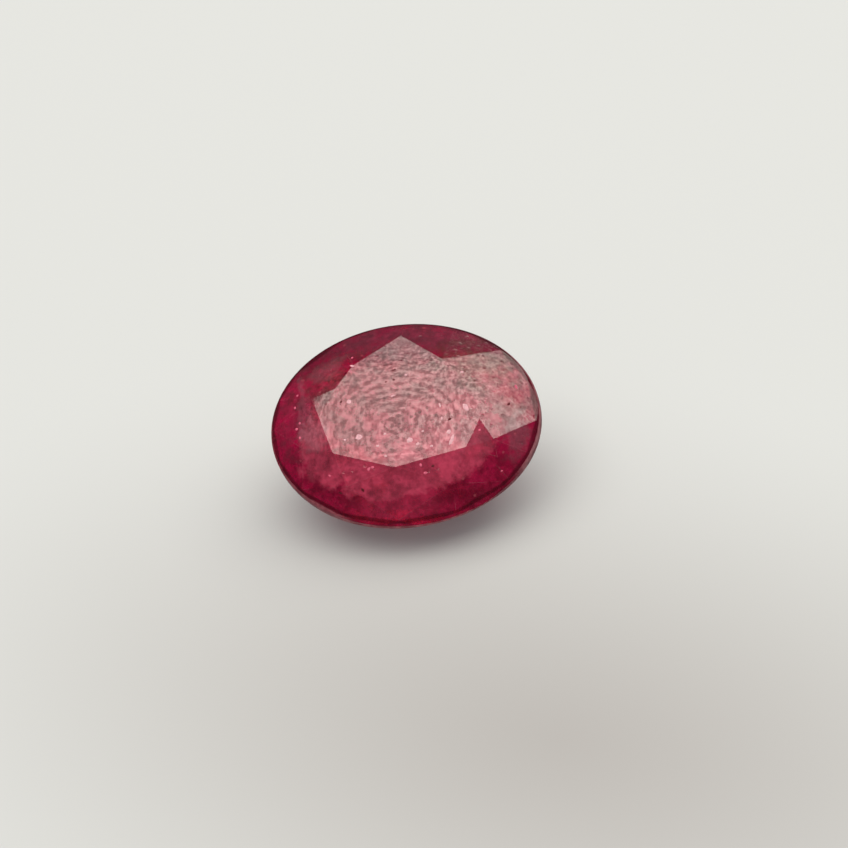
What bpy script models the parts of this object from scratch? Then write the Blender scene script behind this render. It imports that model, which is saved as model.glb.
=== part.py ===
# An oval faceted ruby, lying on one of its pavilion facets so that its table leans toward -Y.
#
# The stone is cut the way a cutter works: an oval blank is ground flat by flat. It is cut upright,
# in millimetres, with +X along its length and +Z out of the table, and is then laid down on its
# rest facet. In the finished part the units are metres, +Z is up, and the origin is on the surface
# that the stone lies on, under the middle of the stone.

import math

import bmesh
import bpy
from mathutils import Matrix, Vector

# Overall size of the stone, in millimetres. Heights are from the middle of the girdle.
LENGTH = 9.9
WIDTH = 8.0
GIRDLE_THICKNESS = 0.28
CROWN_HEIGHT = 1.36
TABLE_HEIGHT = GIRDLE_THICKNESS / 2 + CROWN_HEIGHT
BLANK_SIDES = 96
METRES_PER_MM = 0.001

# The eight main facets of the crown, anticlockwise from the right-hand end. Each runs from a corner
# of the table down to a tip on the crown's edge, and the cutter's hand leaves none of them regular.
# corner: the table corner's place; tip: degrees round the stone; swing: how far the facet turns, in
# degrees, from facing straight out at its tip; lift: how far the tip stands above the crown's
# edge; short: how far it ends in from the edge
MAIN_FACETS = (
    {"corner": (2.89, -0.55), "tip": -4, "swing": 2, "lift": 0.0, "short": 0.0},
    {"corner": (2.16, 1.00), "tip": 43, "swing": 3, "lift": 0.0, "short": 0.0},
    {"corner": (-0.10, 1.42), "tip": 91, "swing": -1, "lift": 0.5, "short": 0.15},
    {"corner": (-2.37, 0.94), "tip": 145, "swing": -6.5, "lift": 0.0, "short": 0.0},
    {"corner": (-2.88, -0.30), "tip": 181, "swing": -3.5, "lift": 0.0, "short": 0.0},
    {"corner": (-2.41, -1.58), "tip": 220, "swing": 0, "lift": 0.0, "short": 0.0},
    {"corner": (-0.16, -2.26), "tip": 268, "swing": 0, "lift": 0.0, "short": 0.0},
    {"corner": (2.40, -1.63), "tip": 318, "swing": 2.5, "lift": 0.0, "short": 0.0},
)
# Between each main facet and the next: how far down the crown the star facet ends, from the table
# (0) to the girdle (1), and how far above the crown's edge the two break facets meet
BETWEEN_MAINS = (
    {"star": 0.23, "lift": 0.0},
    {"star": 0.14, "lift": 0.15},
    {"star": 0.12, "lift": 0.0},
    {"star": 0.18, "lift": 0.0},
    {"star": 0.28, "lift": 0.0},
    {"star": 0.28, "lift": 0.0},
    {"star": 0.28, "lift": 0.0},
    {"star": 0.22, "lift": 0.0},
)

# The girdle is rounded off to the crown above it and to the pavilion below it. On the +Y side, where
# the crown is left thick, a second and flatter rounding climbs further up.
CROWN_EDGE_SLOPE = 60.0
CROWN_EDGE_HEIGHT = 0.25
THICK_EDGE_SLOPE = 45.0
THICK_EDGE_FROM = 30.0
THICK_EDGE_TO = 140.0
PAVILION_EDGE_SLOPE = 62.0
PAVILION_EDGE_INSET = 0.07
# Its lower edge waves up and down, so that it is thicker in some places than in others
GIRDLE_WAVES = 3
GIRDLE_WAVE_HEIGHT = 0.14
GIRDLE_THICKEST_AT = 235.0

# The pavilion, in tiers from the girdle down to the keel. offset: how far round its first facet
# is, as a share of one facet; inset: how far in from the girdle the tier ends; wave: how much of the
# girdle's wave it follows
PAVILION_TIERS = (
    {"facets": 16, "offset": 0.5, "slope": 55.0, "inset": 0.70, "wave": 1.0},
    {"facets": 8, "offset": 0.0, "slope": 42.0, "inset": 2.00, "wave": 0.0},
    {"facets": 8, "offset": 0.0, "slope": 26.0, "inset": WIDTH / 2, "wave": 0.0},
)
# The stone lies on the facet of the lowest tier that faces this way, in degrees round the girdle
REST_FACET_AT = 270.0

RUBY_COLOUR = (0.55, 0.012, 0.045, 1.0)
RUBY_ROUGHNESS = 0.08
RUBY_IOR = 1.765
RUBY_TRANSMISSION = 0.8

# Corners nearer to a cut than the first of these are on it, and corners closer together than the
# second are one corner
CUT_TOLERANCE = 0.00001
MEET_TOLERANCE = 0.006


def clear_scene():
    for thing in list(bpy.data.objects):
        bpy.data.objects.remove(thing, do_unlink=True)


def outward(degrees):
    """The level direction straight out of the girdle at a place on it."""
    turn = math.radians(degrees)
    return Vector((math.cos(turn) / LENGTH, math.sin(turn) / WIDTH, 0.0)).normalized()


def girdle_point(degrees, height, inset=0.0):
    """A place round the girdle's oval, at a height, moved in from the oval by an inset."""
    turn = math.radians(degrees)
    on_oval = Vector((LENGTH / 2 * math.cos(turn), WIDTH / 2 * math.sin(turn), height))
    return on_oval - outward(degrees) * inset


def crown_edge_point(degrees, lift, short=0.0):
    """A place at the crown's edge, or lifted up its thick part and moved in from there."""
    inset = CROWN_EDGE_HEIGHT / math.tan(math.radians(CROWN_EDGE_SLOPE))
    inset += lift / math.tan(math.radians(THICK_EDGE_SLOPE)) + short
    return girdle_point(degrees, GIRDLE_THICKNESS / 2 + CROWN_EDGE_HEIGHT + lift, inset)


def girdle_wave(degrees):
    """How far the girdle's lower edge rises above its lowest place."""
    turn = math.radians(GIRDLE_WAVES * (degrees - GIRDLE_THICKEST_AT))
    return GIRDLE_WAVE_HEIGHT * (1 - math.cos(turn)) / 2


def plane_through(first, second, third):
    """The plane through three points, as a point and a direction away from the stone's middle."""
    normal = (second - first).cross(third - first).normalized()
    if normal.dot(first) < 0:
        normal.negate()
    return first, normal


def sloping_plane(point, direction, slope, side):
    """A facet through a point, at an angle to the table. Side is 1 on the crown, -1 below it."""
    angle = math.radians(slope)
    return point, direction * math.sin(angle) + Vector((0, 0, side * math.cos(angle)))


def meet_at_height(first, second, height):
    """The point at a height where two facets meet."""
    rows = Matrix((first[1].to_2d(), second[1].to_2d()))
    reach = Vector([plane[1].dot(plane[0]) - plane[1].z * height for plane in (first, second)])
    level = rows.inverted() @ reach
    return Vector((level.x, level.y, height))


def grind(stone, plane):
    """Take away everything outside a plane and leave a flat facet there."""
    point, normal = plane
    everything = stone.verts[:] + stone.edges[:] + stone.faces[:]
    cut = bmesh.ops.bisect_plane(
        stone, geom=everything, dist=CUT_TOLERANCE, plane_co=point, plane_no=normal, clear_outer=True)
    rim = [piece for piece in cut["geom_cut"] if isinstance(piece, bmesh.types.BMEdge)]
    if rim:
        bmesh.ops.contextual_create(stone, geom=rim)


def oval_blank():
    """An upright oval prism, taller than the finished stone."""
    stone = bmesh.new()
    bmesh.ops.create_cone(
        stone, cap_ends=True, segments=BLANK_SIDES, radius1=0.5, radius2=0.5, depth=2 * WIDTH)
    bmesh.ops.scale(stone, vec=(LENGTH, WIDTH, 1.0), verts=stone.verts)
    return stone


def main_facets():
    """The table's corners, the tips at the crown's edge, and the facets between them."""
    corners = [Vector((*main["corner"], TABLE_HEIGHT)) for main in MAIN_FACETS]
    tips = [crown_edge_point(main["tip"], main["lift"], main["short"]) for main in MAIN_FACETS]
    planes = []
    for main, corner, tip in zip(MAIN_FACETS, corners, tips):
        facing = Matrix.Rotation(math.radians(main["swing"]), 3, "Z") @ outward(main["tip"])
        along = Vector((0, 0, 1)).cross(facing)
        planes.append(plane_through(corner, tip, tip + along))
    return corners, tips, planes


def crown_facets():
    """The table, the mains, and the star and two breaks between each main and the next."""
    corners, tips, facets = main_facets()
    mains = list(facets)
    facets.append((Vector((0, 0, TABLE_HEIGHT)), Vector((0, 0, 1))))
    for near, gap in enumerate(BETWEEN_MAINS):
        far = (near + 1) % len(mains)
        star_tip = meet_at_height(mains[near], mains[far], TABLE_HEIGHT - gap["star"] * CROWN_HEIGHT)
        arc = (MAIN_FACETS[far]["tip"] - MAIN_FACETS[near]["tip"]) % 360
        middle = crown_edge_point(MAIN_FACETS[near]["tip"] + arc / 2, gap["lift"])
        facets.append(plane_through(corners[near], corners[far], star_tip))
        facets.append(plane_through(tips[near], middle, star_tip))
        facets.append(plane_through(middle, tips[far], star_tip))
    return facets


def rounding_facets():
    """The roundings above and below the girdle, one flat of each for every side of the blank."""
    facets = []
    for side in range(BLANK_SIDES):
        place = 360.0 * (side + 0.5) / BLANK_SIDES
        upper = girdle_point(place, GIRDLE_THICKNESS / 2)
        lower = girdle_point(place, girdle_wave(place) - GIRDLE_THICKNESS / 2)
        facets.append(sloping_plane(upper, outward(place), CROWN_EDGE_SLOPE, 1))
        facets.append(sloping_plane(lower, outward(place), PAVILION_EDGE_SLOPE, -1))
        if THICK_EDGE_FROM < place < THICK_EDGE_TO:
            crown_edge = crown_edge_point(place, 0.0)
            facets.append(sloping_plane(crown_edge, outward(place), THICK_EDGE_SLOPE, 1))
    return facets


def pavilion_facets():
    """The tiers under the girdle. Each starts where the one above it ends."""
    facets = []
    inset = PAVILION_EDGE_INSET
    height = -GIRDLE_THICKNESS / 2 - inset * math.tan(math.radians(PAVILION_EDGE_SLOPE))
    for tier in PAVILION_TIERS:
        for number in range(tier["facets"]):
            place = REST_FACET_AT + 360.0 * (number + tier["offset"]) / tier["facets"]
            start = girdle_point(place, height + tier["wave"] * girdle_wave(place), inset)
            facets.append(sloping_plane(start, outward(place), tier["slope"], -1))
        height -= (tier["inset"] - inset) * math.tan(math.radians(tier["slope"]))
        inset = tier["inset"]
    return facets


def lay_down(stone):
    """Turn the stone onto its rest facet and put it over the origin."""
    rest_slope = math.radians(PAVILION_TIERS[-1]["slope"])
    bmesh.ops.rotate(stone, cent=(0, 0, 0), matrix=Matrix.Rotation(rest_slope, 3, "X"), verts=stone.verts)
    low = [min(corner.co[axis] for corner in stone.verts) for axis in range(3)]
    high = [max(corner.co[axis] for corner in stone.verts) for axis in range(3)]
    middle = Vector(((low[0] + high[0]) / 2, (low[1] + high[1]) / 2, low[2]))
    bmesh.ops.translate(stone, vec=-middle, verts=stone.verts)


def ruby_material():
    material = bpy.data.materials.new("ruby")
    material.use_nodes = True
    shader = material.node_tree.nodes["Principled BSDF"]
    shader.inputs["Base Color"].default_value = RUBY_COLOUR
    shader.inputs["Roughness"].default_value = RUBY_ROUGHNESS
    shader.inputs["Metallic"].default_value = 0.0
    shader.inputs["IOR"].default_value = RUBY_IOR
    shader.inputs["Transmission Weight"].default_value = RUBY_TRANSMISSION
    return material


def build_stone(collection):
    stone = oval_blank()
    for facet in crown_facets() + rounding_facets() + pavilion_facets():
        grind(stone, facet)
    bmesh.ops.remove_doubles(stone, verts=stone.verts, dist=MEET_TOLERANCE)
    bmesh.ops.dissolve_degenerate(stone, dist=MEET_TOLERANCE, edges=stone.edges)
    lay_down(stone)
    bmesh.ops.scale(stone, vec=(METRES_PER_MM,) * 3, verts=stone.verts)
    bmesh.ops.recalc_face_normals(stone, faces=stone.faces)

    mesh = bpy.data.meshes.new("oval_ruby")
    stone.to_mesh(mesh)
    stone.free()
    mesh.materials.append(ruby_material())
    collection.objects.link(bpy.data.objects.new("oval_ruby", mesh))


clear_scene()
oval_ruby_parts = bpy.data.collections.new("oval faceted ruby")
bpy.context.scene.collection.children.link(oval_ruby_parts)
build_stone(oval_ruby_parts)
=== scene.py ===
import math

import bmesh
import bpy
from mathutils import Matrix, Quaternion, Vector, noise
from mathutils.bvhtree import BVHTree


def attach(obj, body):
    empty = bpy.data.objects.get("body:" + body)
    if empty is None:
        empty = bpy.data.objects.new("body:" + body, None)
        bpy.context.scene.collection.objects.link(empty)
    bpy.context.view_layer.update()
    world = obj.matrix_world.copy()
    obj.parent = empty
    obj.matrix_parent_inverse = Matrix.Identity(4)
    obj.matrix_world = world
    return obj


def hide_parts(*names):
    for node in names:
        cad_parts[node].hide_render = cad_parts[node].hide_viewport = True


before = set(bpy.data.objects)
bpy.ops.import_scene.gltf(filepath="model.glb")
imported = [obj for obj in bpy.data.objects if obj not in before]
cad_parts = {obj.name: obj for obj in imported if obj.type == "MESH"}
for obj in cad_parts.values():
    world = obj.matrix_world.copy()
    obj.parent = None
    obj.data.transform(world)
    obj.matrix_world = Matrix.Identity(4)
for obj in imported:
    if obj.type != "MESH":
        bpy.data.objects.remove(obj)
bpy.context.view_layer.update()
mm = 0.001
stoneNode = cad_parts["oval_ruby"]


# Small helpers shared by every piece

def addPiece(shape, name, material):
    mesh = bpy.data.meshes.new(name)
    shape.to_mesh(mesh)
    shape.free()
    mesh.materials.append(material)
    piece = bpy.data.objects.new(name, mesh)
    bpy.context.scene.collection.objects.link(piece)
    return piece


def newMaterial(name, plainValues):
    material = bpy.data.materials.new(name)
    material.use_nodes = True
    shader = material.node_tree.nodes["Principled BSDF"]
    for socket, value in plainValues.items():
        shader.inputs[socket].default_value = value
    return material, shader.inputs


def link(material, source, target):
    material.node_tree.links.new(source, target)


def addNode(material, kind, *values, **settings):
    # Fills the open inputs in their order, each with a fixed value or with the output of another node
    node = material.node_tree.nodes.new(kind)
    for name, setting in settings.items():
        setattr(node, name, setting)
    for socket, value in zip([one for one in node.inputs if one.enabled], values):
        if isinstance(value, bpy.types.NodeSocket):
            link(material, value, socket)
        else:
            socket.default_value = value
    return node


def addResult(material, kind, *values, **settings):
    # Adds a node and gives back its first open output
    node = addNode(material, kind, *values, **settings)
    return next(one for one in node.outputs if one.enabled)


def addMath(material, operation, *values):
    return addResult(material, "ShaderNodeMath", *values, operation=operation)


def addProduct(material, first, *others):
    product = first
    for other in others:
        product = addMath(material, "MULTIPLY", product, other)
    return product


def addVector(material, operation, *values):
    return addResult(material, "ShaderNodeVectorMath", *values, operation=operation)


def addRange(material, value, begin, full, start=0, end=1):
    # Runs smoothly from start, where the value is at begin, to end, where it is at full
    return addResult(material, "ShaderNodeMapRange", value, begin, full, start, end,
                     interpolation_type="SMOOTHSTEP")


def addMix(material, share, first, second, kind="RGBA"):
    return addResult(material, "ShaderNodeMix", share, first, second, data_type=kind)


def addNoise(material, where, scale, detail, roughness=0.5, distortion=0.0):
    node = addNode(material, "ShaderNodeTexNoise", where, scale, detail, roughness)
    node.inputs["Distortion"].default_value = distortion
    return node.outputs[0]


def addObjectPlace(material):
    return addNode(material, "ShaderNodeTexCoord").outputs["Object"]


def addReach(material, where, centre, reach, turn=0):
    # Place and distance from a centre, seen from above, where 1 is the edge of a turned ellipse
    offset = addResult(material, "ShaderNodeMapping", where, centre, (0, 0, math.radians(turn)),
                       (*reach, 1), vector_type="TEXTURE")
    flat = addVector(material, "MULTIPLY", offset, (1, 1, 0))
    return flat, addVector(material, "LENGTH", flat)


def addSides(material, place):
    # X, Y and Z of a place
    return addNode(material, "ShaderNodeSeparateXYZ", place).outputs


def addBump(material, height, depth):
    bump = addNode(material, "ShaderNodeBump")
    bump.inputs["Distance"].default_value = depth
    link(material, height, bump.inputs["Height"])
    return bump.outputs["Normal"]


# Camera: looks down on the leaning table, from a little to the right

cameraView = {
    "target": (0.0, 0.01 * mm, 2.98 * mm),  # the middle of the girdle
    "azimuth": 10.4,           # degrees round from -Y towards +X
    "elevation": 39.53,
    "roll": -9.9,
    "distance": 130 * mm,
    "frameWidth": 30.78 * mm,  # what the frame spans at the stone
    "moveRight": 0.653 * mm,   # the stone sits a little left of the middle
    "moveUp": 0.058 * mm,
    "sensorWidth": 36,         # in the camera's own millimetres
    "clip": (0.01, 10),        # nearest and farthest seen, in metres
}


def makeCamera():
    turn, rise = math.radians(cameraView["azimuth"]), math.radians(cameraView["elevation"])
    back = Vector((math.sin(turn) * math.cos(rise), -math.cos(turn) * math.cos(rise), math.sin(rise)))
    lens = bpy.data.cameras.new("camera")
    lens.sensor_width = cameraView["sensorWidth"]
    lens.lens = cameraView["sensorWidth"] * cameraView["distance"] / cameraView["frameWidth"]
    lens.clip_start, lens.clip_end = cameraView["clip"]
    camera = bpy.data.objects.new("camera", lens)
    camera.rotation_mode = "QUATERNION"
    level = (-back).to_track_quat("-Z", "Y")
    camera.rotation_quaternion = Quaternion(back, math.radians(cameraView["roll"])) @ level
    right = camera.rotation_quaternion @ Vector((1, 0, 0))
    up = camera.rotation_quaternion @ Vector((0, 1, 0))
    camera.location = Vector(cameraView["target"]) + back * cameraView["distance"]
    camera.location += right * cameraView["moveRight"] + up * cameraView["moveUp"]
    bpy.context.scene.collection.objects.link(camera)
    bpy.context.scene.camera = camera
    print("camera made")


# Studio: one soft panel overhead and behind, a dim room, and a pale matte tabletop with painted shade towards
# its near right

studio = {
    "panelHeight": 0.5,
    "panelTurn": 25.6,            # degrees, from the stone's length
    "panelAlong": (-0.75, 1.55),  # the panel's reach along and across its turned sides, in heights
    "panelAcross": (-0.48, 0.80),
    "panelRadiance": 1.82,
    "panelColour": (1, 0.985, 0.88),
    "roomGlow": 0.022,            # what the facets mirror where they miss the panel
    "roomFill": 0.40,             # what lights matte surfaces from all sides
    "backdrop": (0.70, 0.70, 0.67),
    "floorRadius": 1.5,
    "floorSides": 64,
    "floorColour": (0.612, 0.617, 0.625, 1),
    "floorRoughness": 0.9,
    "floorGloss": 0.1,
    "floorGlow": 0.12,            # keeps the shadow under the stone pale
    "floorPaintedShadeColour": (0.410, 0.390, 0.388, 1),
    "floorShadePlace": (5.8 * mm, -13.3 * mm, 0),  # painted shade: the tabletop greys off towards the near right
    "floorShadeReach": (32.7 * mm, 19.2 * mm),
    "floorShadeTurn": -21,
    "floorShadeEdge": (-0.15, 1),
}


def makeStudio():
    makePanel()
    makeRoom()
    shape = bmesh.new()
    bmesh.ops.create_circle(shape, cap_ends=True, radius=studio["floorRadius"], segments=studio["floorSides"])
    floor = addPiece(shape, "tabletop", makeFloorMaterial())
    floor.visible_glossy = False  # the facets mirror the dim room, not the tabletop
    print("studio made")


def makePanel():
    height = studio["panelHeight"]
    panel = bpy.data.lights.new("panel", "AREA")
    panel.shape = "RECTANGLE"
    panel.color = studio["panelColour"]
    panel.size = (studio["panelAlong"][1] - studio["panelAlong"][0]) * height
    panel.size_y = (studio["panelAcross"][1] - studio["panelAcross"][0]) * height
    panel.energy = studio["panelRadiance"] * math.pi * panel.size * panel.size_y
    lamp = bpy.data.objects.new("panel", panel)
    turn = Matrix.Rotation(math.radians(studio["panelTurn"]), 4, "Z")
    middle = [sum(studio[side]) / 2 * height for side in ("panelAlong", "panelAcross")]
    lamp.matrix_world = turn @ Matrix.Translation((*middle, height))
    bpy.context.scene.collection.objects.link(lamp)


def makeRoom():
    world = bpy.data.worlds.new("room")
    world.use_nodes = True
    bpy.context.scene.world = world
    nodes, links = world.node_tree.nodes, world.node_tree.links
    rays = nodes.new("ShaderNodeLightPath")
    seen = nodes["Background"]
    seen.inputs["Color"].default_value = (1, 1, 1, 1)
    seen.inputs["Strength"].default_value = studio["roomGlow"]
    for ray, colour, strength in (("Is Diffuse Ray", (1, 1, 1), studio["roomFill"]),
                                  ("Is Camera Ray", studio["backdrop"], 1)):
        side = nodes.new("ShaderNodeBackground")
        side.inputs["Color"].default_value = (*colour, 1)
        side.inputs["Strength"].default_value = strength
        mix = nodes.new("ShaderNodeMixShader")
        links.new(rays.outputs[ray], mix.inputs[0])
        links.new(seen.outputs[0], mix.inputs[1])
        links.new(side.outputs[0], mix.inputs[2])
        seen = mix
    links.new(seen.outputs[0], nodes["World Output"].inputs["Surface"])


def makeFloorMaterial():
    material, inputs = newMaterial("paleTabletop", {
        "Roughness": studio["floorRoughness"],
        "Specular IOR Level": studio["floorGloss"],
        "Emission Strength": studio["floorGlow"],
    })
    # Painted shade: the colour greys off in a soft ellipse towards the near right, and the glow follows it
    _, away = addReach(material, addObjectPlace(material), studio["floorShadePlace"],
                       studio["floorShadeReach"], studio["floorShadeTurn"])
    shade = addRange(material, away, *studio["floorShadeEdge"])
    colour = addMix(material, shade, studio["floorPaintedShadeColour"], studio["floorColour"])
    link(material, colour, inputs["Base Color"])
    link(material, colour, inputs["Emission Color"])
    return material


# The stone. Places in its looks are measured from its middle with the table level: X to the right, Y away
# from the camera, Z up. A pair of limits runs from where something begins to where it is full, and two
# more numbers are its strengths there.

stoneLook = {
    # the mesh
    "weld": 0.0005 * mm,
    "flatAngle": 0.3,             # degrees, under which neighbouring triangles are one facet
    "shortest": 0.04 * mm,        # shorter edges are closed up before the rounding
    "facetArea": 0.12 * mm * mm,  # larger faces are facets, the rest are the girdle's rounding
    "edgeRadius": 0.010 * mm,     # worn edges between the facets
    "edgeSegments": 2,
    "tableLean": 26,              # degrees that the table leans towards -Y
    "wallLean": 0.2,              # the girdle's wall leans less than this, as a sine
    "middle": (0, 1.317 * mm, 2.675 * mm),  # of the girdle, once the stone is turned upright

    # the clear crystal
    "ior": 1.765,
    "gloss": 0.27,                # specular level of the bare stone
    "roughness": 0.12,
    "transmission": 0.55,
    "depthColour": (0.93, 0.05, 0.26, 1),
    "depthDensity": 420.0,

    # painted light and shade in the body colour: a lighter heart, a deep shaded rim round it that is darker
    # still at the far side, and painted dusk at the heart's far side
    "shadedRimColour": (0.535, 0.006, 0.073, 1),
    "farShadedRimColour": (0.32, 0.012, 0.056, 1),
    "farRimFrom": (1.4 * mm, 2.4 * mm),
    "litHeartColour": (0.88, 0.085, 0.185, 1),
    "heartPlace": (-0.13 * mm, -0.62 * mm, 0),
    "heartReach": (3.57 * mm, 2.62 * mm),
    "heartEdge": (1.06, 0.96),    # in reaches from its middle
    "heartRag": 0.62,             # how ragged this edge is
    "heartClouds": {"scale": 750, "detail": 6, "roughness": 0.62},
    "duskShadeColour": (0.46, 0.055, 0.103, 1),
    "duskWay": (-0.2, 0.98, 0),
    "duskFrom": (-2.4 * mm, 1.3 * mm),
    "glowPlace": (-0.2 * mm, -3.25 * mm, 0),  # painted light: a lighter stretch of the near rim
    "glowReach": (2.2 * mm, 0.9 * mm),
    "glowEdge": (1.0, 0.3, 0, 0.35),

    # clouds inside, and tinted places seen from the crown
    "patches": {"scale": 1800, "detail": 4, "roughness": 0.6},
    "patchShade": (0.34, 0.66, 0.68, 1.29),
    "crownFrom": (-0.05 * mm, 0.10 * mm),
    "tintRag": 2.4,
    "tintEdge": (1.15, 0.35),

    # the girdle's matte band, and a painted shade line above it on the crown's rounding
    "bandHeights": (0.27 * mm, 0.22 * mm),
    "matteEnds": (6, -8),         # degrees past the ends of a matte arc, where it begins and is full
    "lineHeights": (0.39 * mm, 0.33 * mm),
    "lineLiftFrom": (-2.5 * mm, 0, 0, 0.04 * mm),  # away from the near side the line reaches higher
    "lineShadeColour": (0.075, 0.004, 0.012, 1),
    "lineShadeStrength": 0.68,
    "frostColour": (0.88, 0.38, 0.43, 1),
    "frostShade": (0.52, 0.15, 0.20, 1),
    "frostGrain": 0.4,            # how much of the frost's mottle is fine grain
    "frostRange": (0.40, 0.60),
    "frostRoughness": 0.5,

    # the hand polish: ripples about 0.16 mm apart, drawn out to dashes that run round the table
    "grain": {"scale": 7000, "detail": 4, "roughness": 0.68, "distortion": 0.3},
    "dashes": {"scale": 7000, "detail": 2},
    "dashStretch": ((0.5, 1.15, 1), (1.15, 0.5, 1)),
    "dashTurn": (0.45, 0.90),
    "dashShare": (0.95, 0.75, 0.15, 0.55),
    "arcCount": 9.6,              # arcs between the heart's middle and its edge
    "arcWander": 9,               # how unevenly they run, in radians
    "arcStrength": (0.95, 0.70, 0.0135, 0.045),
    "arcSide": (-0.1, 0.3, 0.3, 1),            # strongest on the table's far half
    "nearPolish": (-1.8 * mm, 0, -0.022, 0),   # a little lower at the near side
    "polishDepth": 0.0040 * mm,
    "polishGloss": 2.12,          # refractive index of the best polished spots
    "polishRoughness": 0.1,
    "sheenRange": (0.375, 0.635),
    "sidePolish": (-2.75 * mm, 3.0 * mm, 0.62, 1.0),  # duller on the left
    "farPolish": (2.2 * mm, 2.9 * mm, 1, 0.82),       # and at the far side
    # painted sheen: the colour is lighter where the ripples shine and darker between them
    "sheenMottle": (0.36, 0.64, 0.64, 1.36),

    # off the table the polish is calmer, with broader and fainter ripples
    "calmPlace": (-0.2 * mm, 0.2 * mm, 0),
    "calmReach": (2.9 * mm, 2.0 * mm),
    "calmFrom": (1.0, 1.3),
    "calmRipples": {"scale": 3300, "detail": 2},
    "calmRippleShare": 0.35,
    "calmSheen": 0.57,
    "calmSheenShare": 0.28,
    "calmMottleShare": 0.45,

    # fine pits and specks in the polish, and rubbed facet edges
    "dotCrumble": (0.12 * mm, -0.12 * mm, 0.12 * mm),
    "dotEdge": 0.55,              # a dot is full inside this share of its radius
    "finePits": {"scale": 3000, "radius": 0.24, "share": 0.5},
    "fineSpecks": {"scale": 2700, "radius": 0.20, "share": 0.24},
    "pitDullness": 0.6,
    # painted shade: the colour is this much darker in the pits
    "pitPaintedShade": 0.40,
    "speckColour": (0.80, 0.15, 0.21, 1),
    "speckStrength": 0.55,
    "wearColour": (0.85, 0.34, 0.42, 1),
    "wearPatches": (0.42, 0.60, 0, 0.22),
}

# Where the rounding over the girdle is matte: middle and half width in degrees round the stone, strength
matteArcs = [(4, 32, 0.85), (-141, 20, 0.55), (172, 30, 0.30)]

# Tinted places, each with its centre and reach in mm, its turn in degrees and its strength
tints = {
    "milk": {
        "colour": (0.64, 0.27, 0.36, 1),
        "places": [
            ((-3.75, 1.35), (0.20, 0.75), 14, 0.30), ((-3.42, 0.25), (0.22, 0.75), 6, 0.28),
            ((-3.58, 0.35), (0.32, 0.85), 0, 0.30), ((-2.75, 1.95), (1.05, 0.60), 30, 0.28),
            ((4.15, -0.95), (0.60, 1.00), -15, 0.28), ((-3.90, 0.60), (1.10, 2.20), 0, 0.08),
            ((0.60, 3.10), (4.60, 1.10), 0, 0.13), ((2.45, -1.20), (0.80, 0.70), 0, 0.14)],
    },
    "rose": {
        "colour": (0.90, 0.25, 0.35, 1),
        "places": [((-3.10, -0.72), (0.70, 0.75), 15, 0.62)],
    },
    # painted shade: darker olive places on the crown
    "shadeTint": {
        "colour": (0.19, 0.10, 0.04, 1),
        "places": [
            ((2.75, 1.85), (1.60, 1.10), -15, 0.34), ((-2.90, 1.70), (1.30, 1.00), 30, 0.15),
            ((3.95, -0.05), (0.70, 0.50), 20, 0.10)],
    },
}


def addRagged(material, reach, pattern, rag):
    # Makes the edge of a reach ragged
    return addMath(material, "ADD", reach, addMath(material, "MULTIPLY_ADD", pattern, rag, -rag / 2))


def addDots(material, where, scale, radius, share):
    # Scattered dots: only a share of the cells holds one
    cells = addNode(material, "ShaderNodeTexVoronoi", where, scale)
    dot = addRange(material, cells.outputs["Distance"], radius, radius * stoneLook["dotEdge"])
    kept = addMath(material, "LESS_THAN", addSides(material, cells.outputs["Color"])["X"], share)
    return addProduct(material, dot, kept)


def addPaintedHeartAndRim(material, where, away, reach):
    # Painted light and shade: a lighter heart under the table, with a ragged edge, and a painted darker rim
    # round it
    clouds = addNoise(material, where, **stoneLook["heartClouds"])
    edge = addRagged(material, reach, clouds, stoneLook["heartRag"])
    _, glow = addReach(material, where, stoneLook["glowPlace"], stoneLook["glowReach"])
    heart = addMath(material, "MAXIMUM", addRange(material, edge, *stoneLook["heartEdge"]),
                    addRange(material, glow, *stoneLook["glowEdge"]))
    farther = addVector(material, "DOT_PRODUCT", where, stoneLook["duskWay"])
    dusk = addRange(material, farther, *stoneLook["duskFrom"])
    litHeartColour = addMix(material, dusk, stoneLook["litHeartColour"], stoneLook["duskShadeColour"])
    far = addRange(material, away, *stoneLook["farRimFrom"])
    shadedRimColour = addMix(material, far, stoneLook["shadedRimColour"], stoneLook["farShadedRimColour"])
    return addMix(material, heart, shadedRimColour, litHeartColour)


def addClouds(material, colour, where, patches, above):
    # Shades the stone from dusky to clear in patches, and tints some places on the crown, some darker with
    # painted shade
    shade = addRange(material, patches, *stoneLook["patchShade"])
    colour = addVector(material, "SCALE", colour, shade)
    for tint in tints.values():
        share = 0.0
        for centre, size, turn, strength in tint["places"]:
            _, near = addReach(material, where, [value * mm for value in (*centre, 0)],
                               [value * mm for value in size], turn)
            wisp = addRagged(material, near, patches, stoneLook["tintRag"])
            share = addMath(material, "MAXIMUM", share,
                            addRange(material, wisp, *stoneLook["tintEdge"], 0, strength))
        colour = addMix(material, addProduct(material, share, above), colour, tint["colour"])
    return colour


def addMatte(material, where):
    # How matte the rounding is, by the direction from the stone's middle
    way = addVector(material, "NORMALIZE", addVector(material, "MULTIPLY", where, (1, 1, 0)))
    matte = 0.0
    for middle, half, strength in matteArcs:
        turn = math.radians(middle)
        near = addVector(material, "DOT_PRODUCT", way, (math.cos(turn), math.sin(turn), 0))
        ends = [math.cos(math.radians(half + more)) for more in stoneLook["matteEnds"]]
        matte = addMath(material, "MAXIMUM", matte, addRange(material, near, *ends, 0, strength))
    return matte


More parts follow.
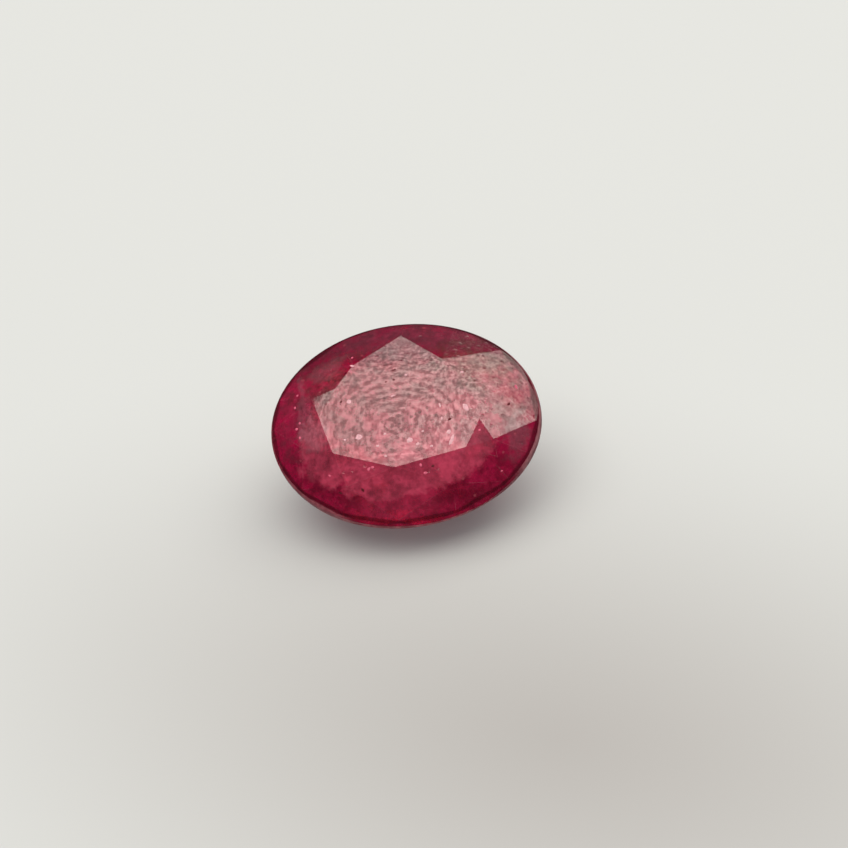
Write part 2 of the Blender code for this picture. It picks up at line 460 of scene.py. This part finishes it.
def addGirdle(material, where, away, height, above):
    # How frosted the girdle is, on its wall and in a band over it, and how dark the painted shade line above
    # the band is
    wall = addNode(material, "ShaderNodeAttribute", attribute_name="frosted").outputs["Fac"]
    band = addProduct(material, addRange(material, height, *stoneLook["bandHeights"]), above)
    frost = addMath(material, "MAXIMUM", wall, addProduct(material, band, addMatte(material, where)))
    lift = addRange(material, away, *stoneLook["lineLiftFrom"])
    lineEdge = addRange(material, addMath(material, "SUBTRACT", height, lift), *stoneLook["lineHeights"])
    line = addProduct(material, addMath(material, "SUBTRACT", lineEdge, band), above,
                      stoneLook["lineShadeStrength"])
    return frost, line


def addPolish(material, where, away, reach, spread, patches, grain, calm):
    # Fine grain, short dashes that run round the table, and arcs across its far half
    along, across = [
        addNoise(material, addVector(material, "MULTIPLY", where, stretch), **stoneLook["dashes"])
        for stretch in stoneLook["dashStretch"]]
    spreadSides = addSides(material, spread)
    sideways = addMath(material, "DIVIDE", addMath(material, "ABSOLUTE", spreadSides["X"]), reach)
    dashes = addMix(material, addRange(material, sideways, *stoneLook["dashTurn"]), along, across, "FLOAT")
    dashed = addRange(material, reach, *stoneLook["dashShare"])

    phase = addMath(material, "MULTIPLY_ADD", reach, stoneLook["arcCount"] * 2 * math.pi,
                    addProduct(material, patches, stoneLook["arcWander"]))
    arcs = addProduct(material, addMath(material, "SINE", phase),
                      addRange(material, reach, *stoneLook["arcStrength"]),
                      addRange(material, spreadSides["Y"], *stoneLook["arcSide"]))
    polish = addMath(material, "ADD", addMix(material, dashed, grain, dashes, "FLOAT"), arcs)

    ripples = addNoise(material, where, **stoneLook["calmRipples"])
    rippled = addProduct(material, calm, stoneLook["calmRippleShare"])
    polish = addMix(material, rippled, polish, ripples, "FLOAT")
    return addMath(material, "ADD", polish, addRange(material, away, *stoneLook["nearPolish"]))


def addSheen(material, sideways, away, polish, calm, shadedPits, line):
    # How glossy the polish is: best on its ridges and to the right, dull in pits and along the dark line
    sheen = addRange(material, polish, *stoneLook["sheenRange"])
    sheen = addMix(material, addProduct(material, calm, stoneLook["calmSheenShare"]), sheen,
                   stoneLook["calmSheen"], "FLOAT")
    hollow = addMath(material, "MULTIPLY_ADD", shadedPits, -stoneLook["pitDullness"], 1)
    skill = addProduct(material, addRange(material, sideways, *stoneLook["sidePolish"]),
                       addRange(material, away, *stoneLook["farPolish"]))
    return addProduct(material, sheen, hollow, skill, addMath(material, "SUBTRACT", 1, line))


def addPaintedSheenAndPitShade(material, colour, polish, calm, shadedPits, specks):
    # Painted sheen: the colour follows the ripples, lighter where they shine; painted shade darker in the
    # pits; and fine specks
    sheenMottle = addProduct(material, addRange(material, polish, *stoneLook["sheenMottle"]),
                        addMath(material, "MULTIPLY_ADD", shadedPits, -stoneLook["pitPaintedShade"], 1))
    sheenMottle = addMix(material, addProduct(material, calm, stoneLook["calmMottleShare"]), sheenMottle, 1.0, "FLOAT")
    colour = addVector(material, "SCALE", colour, sheenMottle)
    return addMix(material, addProduct(material, specks, stoneLook["speckStrength"]), colour,
                  stoneLook["speckColour"])


def addWearLineShadeAndFrost(material, colour, patches, grain, line, frost):
    # Rubbed facet edges, the painted shade line, and the frosted girdle
    worn = addNode(material, "ShaderNodeAttribute", attribute_name="worn").outputs["Fac"]
    rubbed = addProduct(material, worn, addRange(material, patches, *stoneLook["wearPatches"]))
    colour = addMix(material, rubbed, colour, stoneLook["wearColour"])
    colour = addMix(material, line, colour, stoneLook["lineShadeColour"])
    ground = addMath(material, "ADD", addProduct(material, patches, 1 - stoneLook["frostGrain"]),
                     addProduct(material, grain, stoneLook["frostGrain"]))
    frosty = addMix(material, addRange(material, ground, *stoneLook["frostRange"]),
                    stoneLook["frostShade"], stoneLook["frostColour"])
    return addMix(material, frost, colour, frosty)


def makeStoneMaterial():
    material, inputs = newMaterial("rubyCrystal", {
        "IOR": stoneLook["ior"],
        "Specular IOR Level": stoneLook["gloss"],
        "Transmission Weight": stoneLook["transmission"],
        "Coat Roughness": stoneLook["polishRoughness"],
        "Coat IOR": stoneLook["polishGloss"],
    })
    depth = addNode(material, "ShaderNodeVolumeAbsorption")
    depth.inputs["Color"].default_value = stoneLook["depthColour"]
    depth.inputs["Density"].default_value = stoneLook["depthDensity"]
    link(material, depth.outputs[0], material.node_tree.nodes["Material Output"].inputs["Volume"])

    # Measures that the looks share
    where = addResult(material, "ShaderNodeMapping", addObjectPlace(material),
                      [-value for value in stoneLook["middle"]],
                      (-math.radians(stoneLook["tableLean"]), 0, 0), vector_type="POINT")
    sideways, away, height = addSides(material, where)
    above = addRange(material, height, *stoneLook["crownFrom"])
    spread, reach = addReach(material, where, stoneLook["heartPlace"], stoneLook["heartReach"])
    patches = addNoise(material, where, **stoneLook["patches"])
    grain = addNoise(material, where, **stoneLook["grain"])
    _, fromTable = addReach(material, where, stoneLook["calmPlace"], stoneLook["calmReach"])
    calm = addRange(material, fromTable, *stoneLook["calmFrom"])
    crumbled = addVector(material, "MULTIPLY_ADD", grain, stoneLook["dotCrumble"], where)
    shadedPits = addDots(material, crumbled, **stoneLook["finePits"])
    specks = addDots(material, crumbled, **stoneLook["fineSpecks"])

    colour = addPaintedHeartAndRim(material, where, away, reach)
    colour = addClouds(material, colour, where, patches, above)
    frost, line = addGirdle(material, where, away, height, above)
    polish = addPolish(material, where, away, reach, spread, patches, grain, calm)
    colour = addPaintedSheenAndPitShade(material, colour, polish, calm, shadedPits, specks)
    colour = addWearLineShadeAndFrost(material, colour, patches, grain, line, frost)
    link(material, colour, inputs["Base Color"])

    roughness = addMix(material, frost, stoneLook["roughness"], stoneLook["frostRoughness"], "FLOAT")
    link(material, roughness, inputs["Roughness"])
    link(material, addSheen(material, sideways, away, polish, calm, shadedPits, line), inputs["Coat Weight"])
    relief = addBump(material, addMath(material, "SUBTRACT", polish, shadedPits), stoneLook["polishDepth"])
    link(material, relief, inputs["Normal"])
    link(material, relief, inputs["Coat Normal"])
    return material


def makeStone():
    shape = bmesh.new()
    shape.from_mesh(stoneNode.data)
    bmesh.ops.remove_doubles(shape, verts=shape.verts, dist=stoneLook["weld"])
    bmesh.ops.dissolve_limit(shape, angle_limit=math.radians(stoneLook["flatAngle"]),
                             verts=shape.verts, edges=shape.edges)
    bmesh.ops.dissolve_degenerate(shape, dist=stoneLook["shortest"], edges=shape.edges)
    shape.normal_update()

    # The girdle's wall is upright when the table is level
    tableWay = Matrix.Rotation(math.radians(stoneLook["tableLean"]), 3, "X") @ Vector((0, 0, 1))
    worn = shape.faces.layers.float.new("worn")
    frosted = shape.faces.layers.float.new("frosted")
    for face in shape.faces:
        face[frosted] = 1.0 if abs(face.normal.dot(tableWay)) < stoneLook["wallLean"] else 0.0

    # Only the edges between two facets are rounded
    facets = {face for face in shape.faces if face.calc_area() > stoneLook["facetArea"]}
    between = [edge for edge in shape.edges if set(edge.link_faces) <= facets]
    rounded = bmesh.ops.bevel(
        shape, geom=between, offset=stoneLook["edgeRadius"], offset_type="OFFSET",
        segments=stoneLook["edgeSegments"], profile=0.5, affect="EDGES", material=-1, clamp_overlap=True)
    shape.normal_update()
    for face in rounded["faces"]:
        face[worn] = 1.0
        face[frosted] = 0.0
    openEdges = sum(len(edge.link_faces) != 2 for edge in shape.edges)
    print("stone made:", len(shape.faces), "faces,", len(between), "rounded edges,", openEdges, "open ones")

    stone = addPiece(shape, "ruby_stone", makeStoneMaterial())
    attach(stone, "root")
    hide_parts("oval_ruby")
    return stone


# Small marks on the crown: crystals that reach the polish, pits as dark blobs of painted shade, and fine
# lines

markLook = {
    "thickness": 0.022 * mm,
    "sink": 0.55,          # how much of a mark's thickness lies below the polish
    "subdivisions": 2,
    "crumple": 0.42,       # how uneven a mark is
    "crumpleScale": 1.9,
    "crumpleShift": 5000,  # makes no two marks alike
    "castFrom": 10 * mm,   # the height from which a mark is dropped on the stone
    "roughness": 0.5,
    "gloss": 0.2,
    "grain": {"scale": 14000, "detail": 2},
    "grainRange": (0.3, 0.7),
    "grainShade": 0.7,
}

# For each kind its colour, and for each mark its x, y, length and width in mm and its turn in degrees
marks = {
    "pale_crystals": {
        "colour": (0.96, 0.51, 0.58, 1),
        "places": [
            (0.38, -1.24, 0.24, 0.21, 0), (2.40, -0.07, 0.32, 0.17, 120), (-1.47, -1.01, 0.25, 0.20, 20),
            (1.79, -1.01, 0.19, 0.16, 60), (1.89, -1.33, 0.46, 0.12, 70), (-1.85, 0.39, 0.18, 0.16, 0),
            (-1.79, 1.89, 0.20, 0.08, 40), (2.23, 1.40, 0.14, 0.09, 140), (0.85, -0.92, 0.10, 0.08, 0),
            (1.46, 0.06, 0.16, 0.06, 110), (-0.53, -0.95, 0.11, 0.08, 30), (-0.78, -1.40, 0.12, 0.09, 0),
            (0.67, -1.41, 0.13, 0.10, 45), (-1.98, -1.10, 0.10, 0.09, 0), (1.53, -0.45, 0.13, 0.07, 80),
            (1.17, -1.52, 0.11, 0.08, 0), (-0.49, -1.81, 0.10, 0.08, 0), (-0.25, 0.53, 0.18, 0.06, 15),
            (0.22, 1.33, 0.12, 0.06, 0)],
    },
    "rosy_crystals": {
        "colour": (0.88, 0.16, 0.27, 1),
        "places": [
            (-3.95, 0.57, 0.12, 0.10, 0), (-1.11, -2.24, 0.15, 0.10, 50), (-0.97, -2.20, 0.12, 0.09, 0),
            (0.77, -2.21, 0.13, 0.09, 90), (0.93, -2.48, 0.13, 0.10, 0), (4.12, 0.96, 0.17, 0.12, 60),
            (-3.71, -0.71, 0.11, 0.09, 0), (-1.83, 2.33, 0.10, 0.07, 0), (2.89, -0.97, 0.10, 0.08, 0),
            (3.57, -2.24, 0.09, 0.07, 0), (-2.59, -2.27, 0.11, 0.08, 0), (-3.74, -0.12, 0.10, 0.09, 0),
            (-3.86, -0.32, 0.13, 0.10, 30), (-3.88, 1.07, 0.11, 0.09, 0)],
    },
    "shadedPits": {
        # painted shade: the pits are dark blobs where the polish has hollows
        "colour": (0.15, 0.013, 0.022, 1),
        "places": [
            (-0.23, 1.58, 0.16, 0.08, 5), (-0.22, 1.16, 0.10, 0.08, 0), (1.82, -0.51, 0.14, 0.08, 30),
            (1.20, -2.25, 0.12, 0.08, 0), (-1.38, -2.89, 0.16, 0.09, 120), (-2.21, -2.88, 0.11, 0.08, 0),
            (-2.14, 0.41, 0.12, 0.07, 60), (3.88, 0.20, 0.14, 0.10, 0), (-0.51, 1.10, 0.08, 0.06, 0)],
    },
    "fine_lines": {
        "colour": (0.27, 0.03, 0.055, 1),
        "places": [
            (3.30, -1.78, 0.46, 0.030, -38), (3.58, -2.26, 0.72, 0.025, -70), (-1.95, 2.34, 0.50, 0.025, 30)],
    },
}


def makeMarks(stone):
    stoneShape = bmesh.new()
    stoneShape.from_mesh(stone.data)
    tree = BVHTree.FromBMesh(stoneShape)
    stoneShape.free()
    upright = (Matrix.Rotation(math.radians(stoneLook["tableLean"]), 4, "X")
               @ Matrix.Translation(stoneLook["middle"]))
    for kind, look in marks.items():
        shape = bmesh.new()
        for mark in look["places"]:
            addMark(shape, mark, tree, upright)
        bmesh.ops.recalc_face_normals(shape, faces=shape.faces)
        piece = addPiece(shape, "ruby_" + kind, makeMarkMaterial(kind, look["colour"]))
        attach(piece, "root")
        print(kind, "made:", len(look["places"]))


def addMark(shape, mark, tree, upright):
    # A crumpled ball, pressed flat, that lies on the stone below its place
    x, y, length, width, turn = mark
    above = upright @ Vector((x * mm, y * mm, markLook["castFrom"]))
    spot, normal, _, _ = tree.ray_cast(above, upright.to_3x3() @ Vector((0, 0, -1)))
    made = bmesh.ops.create_icosphere(shape, subdivisions=markLook["subdivisions"], radius=1)
    for vert in made["verts"]:
        seed = vert.co * markLook["crumpleScale"] + above * markLook["crumpleShift"]
        vert.co *= 1 + markLook["crumple"] * noise.noise(seed)
    size = Matrix.Diagonal((length * mm / 2, width * mm / 2, markLook["thickness"] / 2, 1))
    lie = normal.to_track_quat("Z", "Y").to_matrix().to_4x4()
    lift = normal * markLook["thickness"] * (0.5 - markLook["sink"])
    place = Matrix.Translation(spot + lift) @ lie @ Matrix.Rotation(math.radians(turn), 4, "Z") @ size
    bmesh.ops.transform(shape, matrix=place, verts=made["verts"])


def makeMarkMaterial(kind, colour):
    material, inputs = newMaterial(kind, {
        "Roughness": markLook["roughness"],
        "Specular IOR Level": markLook["gloss"],
    })
    grain = addNoise(material, addObjectPlace(material), **markLook["grain"])
    shade = addRange(material, grain, *markLook["grainRange"])
    darker = [value * markLook["grainShade"] for value in colour[:3]] + [1]
    link(material, addMix(material, shade, darker, colour), inputs["Base Color"])
    link(material, addBump(material, grain, stoneLook["polishDepth"]), inputs["Normal"])
    return material


bpy.context.scene.view_settings.view_transform = "Standard"
makeCamera()
makeStudio()
makeMarks(makeStone())
